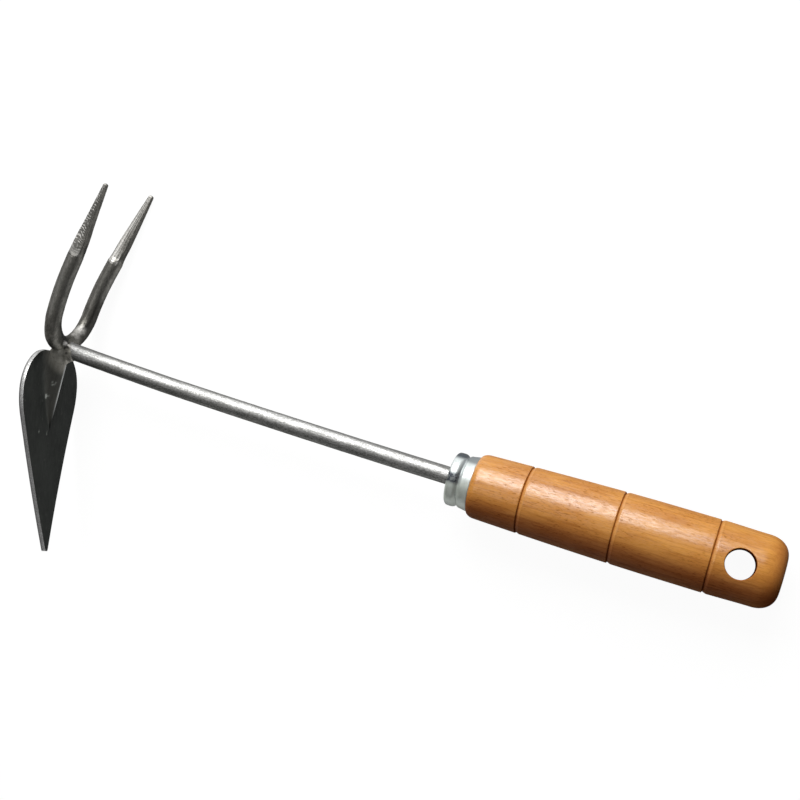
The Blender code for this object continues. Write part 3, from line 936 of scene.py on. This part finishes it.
def flatMarks(gone, across, scaled):
    # Depth in metres and brightness of one hammered flat; across runs from -1, left, to 1
    shape = forkShape
    fresh = fadeOut(1.6, 5.5, gone)
    if scaled:
        depth, glint = scaleRidges(gone, across)
        begun = smoothStep(1.5, 5.0, gone)
        # Painted light: the scaled flat is lighter on its left-hand side
        dull = 0.02 + 0.14 * fadeOut(-0.5, 0.6, across)
        fresh *= fadeOut(0.35, 0.75, across)
        bright = max(0.42 * fresh, dull) + glint * (0.12 + 0.88 * begun)
        return depth * begun * shape["ridgeDepth"], min(bright, 1)
    flute = noise.noise(Vector((gone * 0.045, across * 3.4, 2.2)))
    fine = noise.noise(Vector((gone * 1.3, across * 5.0, 7.1)))
    worn = 0.66 + 0.10 * fresh + 1.3 * flute + 0.4 * fine * fresh
    # Painted light and shade: brightness follows the flutes, and the flat darkens towards its
    # right-hand side
    worn -= 0.20 * smoothStep(-0.4, 0.1, across) + 0.55 * smoothStep(0.15, 0.65, across)
    worn *= 0.6 + 0.4 * smoothStep(0.6, 2.6, gone)
    depth = 0.5 + flute + 0.5 * fresh * fine
    return max(depth, 0) * shape["fluteDepth"], min(max(worn, 0.05), 1)


def forkReach(height, local):
    # Distance from the bar's middle to its skin: round below, a rounded oblong where drawn
    shape = forkShape
    gone = height - shape["height"] + shape["drawLength"]
    if gone <= 0:
        return shape["barRadius"]
    begun = smoothStep(0, shape["shoulder"], gone)
    wide = pointFlat(height)
    thin = wide - shape["squash"] * begun * fadeOut(8 * mm, 30 * mm, gone)
    power = 2 + (shape["corners"] - 2) * begun
    oblong = ((abs(cos(local)) / wide) ** power + (abs(sin(local)) / thin) ** power) ** (-1 / power)
    return min(oblong, shape["barRadius"])


def flatAt(local, bare, nearLeg):
    # Depth and brightness of the flats, at a turn round the bar and bare mm past their start.
    # They face the two sides; the near one that shows first is scaled.
    upper = local > pi
    across = (local - (1.5 * pi if upper else 0.5 * pi)) / (1.15 - 0.33 * smoothStep(1, 11, bare))
    right = across if nearLeg else -across
    begun = smoothStep(0, 0.35, bare - 0.2 - 1.5 * across ** 2)
    edge = 0.86 if right > 0 else 0.97
    onFlat = begun * fadeOut(edge, edge + 0.14, abs(across))
    if onFlat <= 0:
        return 0.0, 0.0
    depth, bright = flatMarks(bare, right, nearLeg and upper)
    return depth * onFlat, onFlat * bright


def forkPaintedShade(x, y, z, way, outer, gone, nearLeg):
    # Painted shade: in the throat beside the weld, and down the right-hand side of each leg as the
    # camera sees it
    throat = smoothStep(1.5, 5, z) * fadeOut(12, 17, y)
    paintedShade = 0.85 * throat * smoothStep(0.1, 0.8, way.x * 0.5 - way.z * 0.87 + 0.1)
    farSide = smoothStep(5, 8, -z) * fadeOut(22, 30, y)
    paintedShade = max(paintedShade, 0.75 * farSide * smoothStep(0.15, 0.55, outer))
    if gone > 2:
        paintedShade = max(paintedShade, 0.30 * smoothStep(0.35, 0.75, outer))
    if nearLeg and gone < 0:
        paintedShade = max(paintedShade, 0.22 * smoothStep(0.1, 0.5, outer) * smoothStep(10, 15, y))
    return paintedShade


def makeFork():
    shape = forkShape
    half = forkCentre()
    line = [Vector((p.x, p.y, -p.z)) for p in reversed(half[1:])] + half
    drawStart = shape["height"] - shape["drawLength"]
    sides = shape["sides"]
    points = []
    marks = {"flat": [], "paintedShade": [], "melt": []}
    for i, place in enumerate(line):
        along = (line[min(i + 1, len(line) - 1)] - line[max(i - 1, 0)]).normalized()
        front = (Vector((1, 0, 0)) - along * along.x).normalized()
        side = along.cross(front)
        nearLeg = place.z > 0
        untwist = smoothStep(drawStart + 2 * mm, drawStart + 14 * mm, place.y)
        last = shape["turnEnd"] if nearLeg else 0
        turn = (shape["turn"] + (last - shape["turn"]) * untwist) * (1 if nearLeg else -1)
        fading = fadeOut(shape["height"] - 4 * mm, shape["height"] - 0.5 * mm, place.y)
        gone = (place.y - drawStart) / mm
        # The far point's bare metal starts a little below its shoulder
        bare = gone if nearLeg else gone + shape["farEarly"]
        slim = np.interp(gone, *zip(*shape["slimNear" if nearLeg else "slimFar"]))
        fuller = smoothStep(2, 8, place.z / mm) * fadeOut(10, 18, place.z / mm)
        fuller *= fadeOut(8, 20, place.y / mm)
        for k in range(sides):
            angle = 2 * pi * k / sides
            local = (angle - turn) % (2 * pi)
            way = front * cos(angle) + side * sin(angle)
            reach = forkReach(place.y, local)
            if gone > 0:
                reach *= slim
            spot = place * 900 + Vector((cos(angle), sin(angle), 0)) * 1.3
            reach += noise.noise(spot) * shape["dents"]
            depth, onFlat = flatAt(local, bare, nearLeg) if bare > 0 else (0.0, 0.0)
            reach -= depth * (0.2 + 0.8 * fading)
            reach += shape["bulge"] * fuller * max(way.z * 0.8 - way.y * 0.6, 0) ** 1.5
            skin = place + way * reach
            x, y, z = (value / mm for value in skin)
            outer = way.x * 0.92 + way.y * 0.27 - way.z * 0.28
            paintedShade = forkPaintedShade(x, y, z, way, outer, gone, nearLeg)
            # Below, the bow is melted into the weld
            melt = fadeOut(2.2, 4.6, y) * fadeOut(7.5, 10, abs(z))
            if bare < 0:
                onFlat = 0.06 * smoothStep(14, 24, y)
            # Painted highlight: a thin light streak down the near leg's round part
            if nearLeg and gone < 0:
                streak = max(1 - abs(outer + 0.45) / 0.25, 0) * smoothStep(12, 17, y)
                onFlat += 0.20 * streak
            # Painted highlights at the listed spots; the last spots also stand out from the bar
            for middle, spread, strength, lift in shape["paintedHighlight"]:
                near = (skin - Vector(middle) * mm).length / (spread * mm)
                if near < 1:
                    skin = skin + way * lift * mm * (1 - near ** 2)
                    ragged = 0.85 + 0.6 * noise.noise(skin * 1100)
                    onFlat = max(onFlat, strength * (1 - near ** 2) * ragged)
                    paintedShade *= near ** 2
            points.append(skin)
            addMarks(marks, onFlat, paintedShade, melt)
    rings = rowsOf(points, sides)
    tips = []
    for ring in (rings[0], rings[-1]):
        tips.append([len(points)] * sides)
        points.append(sum((points[i] for i in ring), Vector()) / sides)
        addMarks(marks, 0.6, 0.0, 0.0)
    rings = [tips[0]] + rings + [tips[1]]
    mesh = makeMesh("forkBar", points, ringFaces(rings), marks)
    return rideRoot(placeObject("forkBar", mesh, toolPose), [forgedSteel], ["fork"])


weldShape = {
    "heart": (-1.5, 0.8, 0.0),         # in mm, inside the joint
    "reach": (8.5, 10.5, 13.5),        # how far the metal may run along x, y, z
    "middle": (-2.4, -0.9, 0.0),
    "full": (5.0, 4.0, 7.2),           # inside this the fillets are full
    "end": (8.0, 7.0, 12.0),           # outside this nothing is left of them
    "heated": (6.3, 6.4, 6.0),         # how far the plate round them has kept a warm tint
    # The last bead across the top, painted bright as a highlight: points in mm, and its width
    "bead": [(-0.6, 4.3, 4.4), (-0.2, 3.8, 3.6), (0.9, 3.2, 3.4)],
    "beadWide": 0.9,
    "crack": [(-0.8, 2.3, 7.3), (-0.6, 2.2, 5.6), (-0.1, 2.5, 4.9), (0.4, 2.7, 4.2)],
    "crackWide": 0.75,
    "pit": (0.4, -0.1, 4.5),
    "barBlend": 3.2,
    "plateBlend": 4.6,
    "skin": 0.30,
    "ripple": 0.22,
    "rippleSize": 1.9,
    "fineness": 5,
}


bladeShape = {
    "top": -0.6 * mm,
    "frontX": -8.6 * mm,
    "thickness": 2.1 * mm,
    "halfWidth": 23.1 * mm,
    "length": 90 * mm,
    "crown": 18.6 * mm,
    "arch": 20.0 * mm,         # the crown's curve would end here, but the top is cut straight
    "fullness": 2.08,
    "shoulder": 0.07,
    "tipHalf": 0.85 * mm,
    "tipRound": 0.7 * mm,
    "slopeTop": tan(radians(11.0)),
    "slopeTip": tan(radians(16.2)),
    "crestX": -0.6 * mm,
    "ribLength": 35 * mm,
    "ribHalf": 9.5 * mm,
    "crestRound": 0.9 * mm,
    "footRound": 1.6 * mm,
    "ribRunOut": 1.3,
    "columns": 56,
    "rows": 190,
    "edgeRound": 0.30 * mm,
    "crestWide": 0.70 * mm,    # half the width of the painted highlight down the crest
    # Dried spatter on the near half: y, z in mm and size
    "spatter": [(-15.0, 3.25, 1.0), (-21.25, 4.5, 1.0), (-38.0, 1.75, 0.5), (-37.25, 8.5, 0.4)],
}


def bladeHalf(height):
    shape = bladeShape
    widest = shape["top"] - shape["crown"]
    if height > widest:
        share = (height - widest) / shape["arch"]
        full = shape["fullness"]
        return shape["halfWidth"] * max(1 - share ** full, 0) ** (1 / full)
    gone = (widest - height) / (shape["length"] - shape["crown"])
    knee = shape["shoulder"]
    side = gone - knee * (1 - (1 - min(gone / (2 * knee), 1)) ** 2)
    straight = shape["halfWidth"] + (shape["tipHalf"] - shape["halfWidth"]) * side / (1 - knee)
    into = max(shape["top"] - shape["length"] + shape["tipRound"] - height, 0) / shape["tipRound"]
    return straight - shape["tipRound"] * (1 - sqrt(max(1 - into ** 2, 0)))


def bladeFront(height, across):
    # Place of the front face; takes single numbers or arrays, in metres
    shape = bladeShape
    down = shape["top"] - height
    slope = shape["slopeTop"] + (shape["slopeTip"] - shape["slopeTop"]) * down / shape["length"] / 2
    plate = shape["frontX"] + down * slope
    run = np.clip(down / shape["ribLength"], 0, 1)
    rise = np.maximum(shape["crestX"] - plate, 0)
    share = 1 - run ** shape["ribRunOut"]
    half = shape["ribHalf"] * share
    soft = shape["crestRound"] * np.minimum(1, share + 0.15)
    foot = shape["footRound"] * np.minimum(1, share + 0.10)
    ridge = half - (np.sqrt(across ** 2 + soft ** 2) - soft)
    lift = (ridge + np.sqrt(ridge ** 2 + foot ** 2)) / 2
    crown = (half + np.sqrt(half ** 2 + foot ** 2)) / 2
    return plate + rise * lift / crown


def plateMarks(place, height, across):
    # How much painted crest highlight, heat tint and spatter the front face has there
    shape = bladeShape
    down, side = (shape["top"] - height) / mm, across / mm
    worn = max(1 - abs(across) / shape["crestWide"], 0) * fadeOut(19, 32, down)
    # The weld's heat ran furthest down the near slope of the rib
    spot = Vector((place, height, across)) / mm - Vector(weldShape["middle"])
    spot = Vector(spot[i] / weldShape["heated"][i] for i in range(3)).length
    heat = fadeOut(0.85, 1.9 if side > 0 else 1.3, spot)
    foot = shape["ribHalf"] / mm * max(1 - (max(down, 0) / 35) ** shape["ribRunOut"], 0)
    slope = smoothStep(0, 0.8, side) * fadeOut(foot - 1.0, foot + 1.5, side)
    slope *= (0.14 + 0.04 * smoothStep(10, 25, down)) * fadeOut(32, 35, down)
    spatter = 0.0
    for high, wide, size in shape["spatter"]:
        near = ((height / mm - high) / 1.5) ** 2 + ((side - wide) / 1.1) ** 2
        if near < size:
            ragged = 0.6 + 2.2 * noise.noise(Vector((height, across, 0)) * 1100)
            spatter = max(spatter, min(max((size - near) * ragged, 0), 1))
    return worn, max(heat, slope), spatter


def bladeHeights(topRows=56, tipRows=8):
    # Rows close together at the top and round the tip
    shape = bladeShape
    widest = shape["top"] - shape["crown"]
    tipStart = shape["top"] - shape["length"] + shape["tipRound"]
    lower = shape["rows"] - topRows
    rows = [widest + shape["crown"] * sin(pi / 2 * (1 - i / topRows)) for i in range(topRows + 1)]
    rows += [widest + (tipStart - widest) * i / lower for i in range(1, lower + 1)]
    return rows + [tipStart - shape["tipRound"] * sin(i / tipRows * pi / 2)
                   for i in range(1, tipRows + 1)]


def makeBlade():
    shape = bladeShape
    columns = shape["columns"]
    spread = [(i / columns) ** 1.3 for i in range(columns + 1)]
    shares = [-share for share in reversed(spread[1:])] + spread
    points = []
    marks = {"worn": [], "scorch": [], "spatter": []}
    for height in bladeHeights():
        half = bladeHalf(height)
        for share in shares:
            across = share * half
            place = float(bladeFront(height, across))
            points.append((place, height, across))
            addMarks(marks, *plateMarks(place, height, across))
    rows = rowsOf(points, len(shares))
    faces = [(high[i], high[i + 1], low[i + 1], low[i])
             for high, low in zip(rows, rows[1:]) for i in range(len(high) - 1)]
    mesh = makeMesh("bladePlate", points, faces, marks)
    blade = placeObject("bladePlate", mesh, toolPose)
    facing = 1 if mesh.polygons[0].normal.x > 0 else -1
    # The rim takes the second material
    addModifier(blade, "plate", "SOLIDIFY", thickness=shape["thickness"], offset=-facing,
                use_even_offset=True, material_offset_rim=1)
    addModifier(blade, "edges", "BEVEL", width=shape["edgeRound"], segments=3,
                limit_method="ANGLE", angle_limit=radians(60))
    groundEdge = makeSteel("groundEdge", sawnRim)
    return rideRoot(blade, [plateSteel, groundEdge], ["hoe_blade"])


def barField(points):
    # Distance in mm to the shank's end
    across = np.hypot(points[:, 1] - shankCentre(0) / mm, points[:, 2])
    out = across - shankShape["radius"] / mm
    ahead = -points[:, 0]
    inside = np.minimum(np.maximum(ahead, out), 0)
    return inside + np.hypot(np.maximum(ahead, 0), np.maximum(out, 0))


def bowField(points, line):
    # Distance in mm to the bent bar of the fork
    best = np.full(len(points), 1e9)
    for a, b in zip(line, line[1:]):
        step = b - a
        share = np.clip((points - a) @ step / (step @ step), 0, 1)
        best = np.minimum(best, np.linalg.norm(points - a - share[:, None] * step, axis=1))
    return best - forkShape["barRadius"] / mm


def plateField(points):
    # Roughly the distance in mm to the pressed plate
    def ahead(shift):
        moved = points + shift
        return moved[:, 0] - bladeFront(moved[:, 1] * mm, moved[:, 2] * mm) / mm
    f = ahead(np.zeros(3))
    slopeY = (ahead(np.array([0, 0.1, 0])) - f) / 0.1
    slopeZ = (ahead(np.array([0, 0, 0.1])) - f) / 0.1
    front = f / np.sqrt(1 + slopeY ** 2 + slopeZ ** 2)
    above = points[:, 1] - bladeShape["top"] / mm
    behind = -(f + bladeShape["thickness"] / mm)
    return np.maximum(np.maximum(front, above), behind)


def softMin(a, b, width):
    blend = np.maximum(width - np.abs(a - b), 0) / width
    return np.minimum(a, b) - blend ** 2 * width / 4


def weldField(points, line):
    # Below zero inside the weld: fillets that fill the corners where bar, bow and plate meet
    shape = weldShape
    field = softMin(barField(points), bowField(points, line), shape["barBlend"])
    field = softMin(field, plateField(points), shape["plateBlend"])
    away = points - np.array(shape["middle"])
    inner = np.linalg.norm(away / np.array(shape["full"]), axis=1)
    outer = np.linalg.norm(away / np.array(shape["end"]), axis=1)
    share = np.clip((inner - 1) / np.maximum((inner - 1) + (1 - outer), 1e-6), 0, 1)
    share = np.where(outer >= 1, 1, share)
    return field - shape["skin"] * (1 - share) + 1.6 * share ** 2


def pathDistance(spot, path):
    return min((spot - Vector(a).lerp(Vector(b), t / 8)).length
               for a, b in zip(path, path[1:]) for t in range(9))


def makeWeld():
    shape = weldShape
    half = [point for point in forkCentre() if point.y < 22 * mm][::3]
    line = [np.array((p.x, p.y, -p.z)) / mm for p in reversed(half[1:])]
    line += [np.array(tuple(p)) / mm for p in half]
    bm = bmesh.new()
    bmesh.ops.create_icosphere(bm, subdivisions=shape["fineness"], radius=1)
    ways = np.array([tuple(v.co.normalized()) for v in bm.verts])
    heart = np.array(shape["heart"])
    limit = 1 / np.linalg.norm(ways / np.array(shape["reach"]), axis=1)
    reach = limit.copy()
    found = np.zeros(len(ways), bool)
    # Along each way out of the heart, march to where the metal ends and halve the last step
    steps = 48
    for i in range(1, steps + 1):
        trial = limit * i / steps
        crossed = (weldField(heart + ways * trial[:, None], line) > 0) & ~found
        if crossed.any():
            low = (limit * (i - 1) / steps)[crossed]
            high = trial[crossed]
            for halving in range(7):
                middle = (low + high) / 2
                outside = weldField(heart + ways[crossed] * middle[:, None], line) > 0
                high = np.where(outside, middle, high)
                low = np.where(outside, low, middle)
            reach[crossed] = high
            found |= crossed
    marks = {"bead": [], "paintedShade": []}
    for vertex, way, far in zip(bm.verts, ways, reach):
        spot = Vector(heart + way * far)
        lump = noise.noise(spot / shape["rippleSize"]) + 0.4 * noise.noise(spot / 0.8)
        # Painted highlight on the bead
        onBead = fadeOut(0.5, 1.0, pathDistance(spot, shape["bead"]) / shape["beadWide"])
        # Painted shade in the crack, in the pit and along the weld's lower near rim
        inCrack = fadeOut(0.3, 1.0, pathDistance(spot, shape["crack"]) / shape["crackWide"])
        inPit = fadeOut(0.3, 0.9, (spot - Vector(shape["pit"])).length)
        rim = 0.40 * smoothStep(4.5, 8.5, spot.z) * fadeOut(2.5, 5.0, spot.y)
        addMarks(marks, onBead, max(0.75 * inPit, 0.8 * inCrack, rim))
        lump = lump * shape["ripple"] + 0.35 * onBead - 0.3 * inPit - 0.2 * inCrack
        vertex.co = (spot + Vector(way) * lump) * mm
    mesh = bpy.data.meshes.new("weldMetal")
    bm.to_mesh(mesh)
    bm.free()
    storeMarks(mesh, marks)
    mesh.shade_smooth()
    weld = placeObject("weldMetal", mesh, toolPose)
    addModifier(weld, "settle", "SMOOTH", factor=0.5, iterations=2)
    addModifier(weld, "finer", "SUBSURF", levels=1, render_levels=1)
    return rideRoot(weld, [weldSteel],
                    ["shank_weld", "fork_weld_near", "fork_weld_far"])


makeGrip()
makeFerrule()
makeShank()
makeFork()
makeBlade()
makeWeld()


# Camera, where the photograph was taken from, in the tool's axes
cameraView = {
    "lens": 60,
    "sensor": 36,
    "spot": (300.03 * mm, 82.81 * mm, 540.29 * mm),
    "right": (0.92168976, 0.27182965, -0.27676096),
    "up": (-0.28971845, 0.95678255, -0.02510709),
    "back": (0.25797521, 0.1033237, 0.96061075),
}


def makeCamera():
    view = cameraView
    data = bpy.data.cameras.new("photoCamera")
    data.lens = view["lens"]
    data.sensor_width = view["sensor"]
    data.clip_start = 0.01
    data.clip_end = 30
    aim = Matrix((view["right"], view["up"], view["back"])).transposed().to_4x4()
    camera = placeObject("photoCamera", data, toolPose @ Matrix.Translation(view["spot"]) @ aim)
    bpy.context.scene.camera = camera


floorLook = {"size": 16.0, "rise": 0.8, "colour": (0.10, 0.10, 0.10, 1), "white": 0.95}


def makeFloor():
    look = floorLook
    half = look["size"] / 2
    drop = -0.3 * mm
    corners = [(-half, -half), (half, -half), (half, half), (-half, half)]
    # The far edges turn up, so that a low view sees no horizon
    points = [(x, y, z) for z in (drop, look["rise"]) for x, y in corners]
    walls = [(i, (i + 1) % 4, (i + 1) % 4 + 4, i + 4) for i in range(4)]
    mesh = makeMesh("paleFloor", points, [(0, 1, 2, 3)] + walls)
    floor = placeObject("paleFloor", mesh, Matrix())
    paint = bpy.data.materials.new("paleFloor")
    paint.use_nodes = True
    tree = paint.node_tree
    path = addNode(tree, "LightPath").outputs
    seen = calc(tree, "MAXIMUM", path["Is Camera Ray"], path["Is Glossy Ray"])
    seen = calc(tree, "MAXIMUM", seen, path["Is Transmission Ray"])
    setShader(tree, {
        "Base Color": look["colour"], "Roughness": 0.9, "Specular IOR Level": 0.0,
        "Emission Color": (1, 1, 1, 1), "Emission Strength": times(tree, seen, look["white"])})
    mesh.materials.append(paint)


# Soft boxes: direction from the tool, distance, width, height in metres, watts, colour
lights = {
    "keyBox": ((-0.26, 0.74, 0.62), 1.6, 1.25, 1.15, 28, (1.0, 0.99, 0.97)),
    "overheadCard": ((-0.32, -0.06, 0.94), 1.5, 0.55, 0.55, 1.4, (1.0, 1.0, 1.0)),
    "fillCard": ((0.10, -0.80, 0.59), 1.5, 1.10, 0.60, 0.85, (1.0, 1.0, 1.0)),
}


def makeLights():
    for name, (direction, distance, width, height, power, colour) in lights.items():
        data = bpy.data.lights.new(name, "AREA")
        data.shape = "RECTANGLE"
        data.size, data.size_y = width, height
        data.energy = power
        data.color = colour
        way = Vector(direction).normalized()
        pose = Matrix.Translation(way * distance) @ way.to_track_quat("Z", "Y").to_matrix().to_4x4()
        placeObject(name, data, pose)


worldLook = {"sky": 0.06, "horizon": 0.22, "fadeUp": 0.35}


def makeWorld():
    look = worldLook
    world = bpy.data.worlds.new("studio")
    bpy.context.scene.world = world
    world.use_nodes = True
    tree = world.node_tree
    up = splitAxes(tree, addNode(tree, "TexCoord").outputs["Generated"])["Z"]
    shade = blendColour(tree, ramp(tree, up, 0.0, look["fadeUp"]),
                        (look["horizon"],) * 3 + (1,), (look["sky"],) * 3 + (1,))
    feed(tree, tree.nodes["Background"].inputs["Color"], shade)


makeCamera()
makeFloor()
makeLights()
makeWorld()
bpy.context.scene.view_settings.view_transform = "Standard"
print("stage ready")
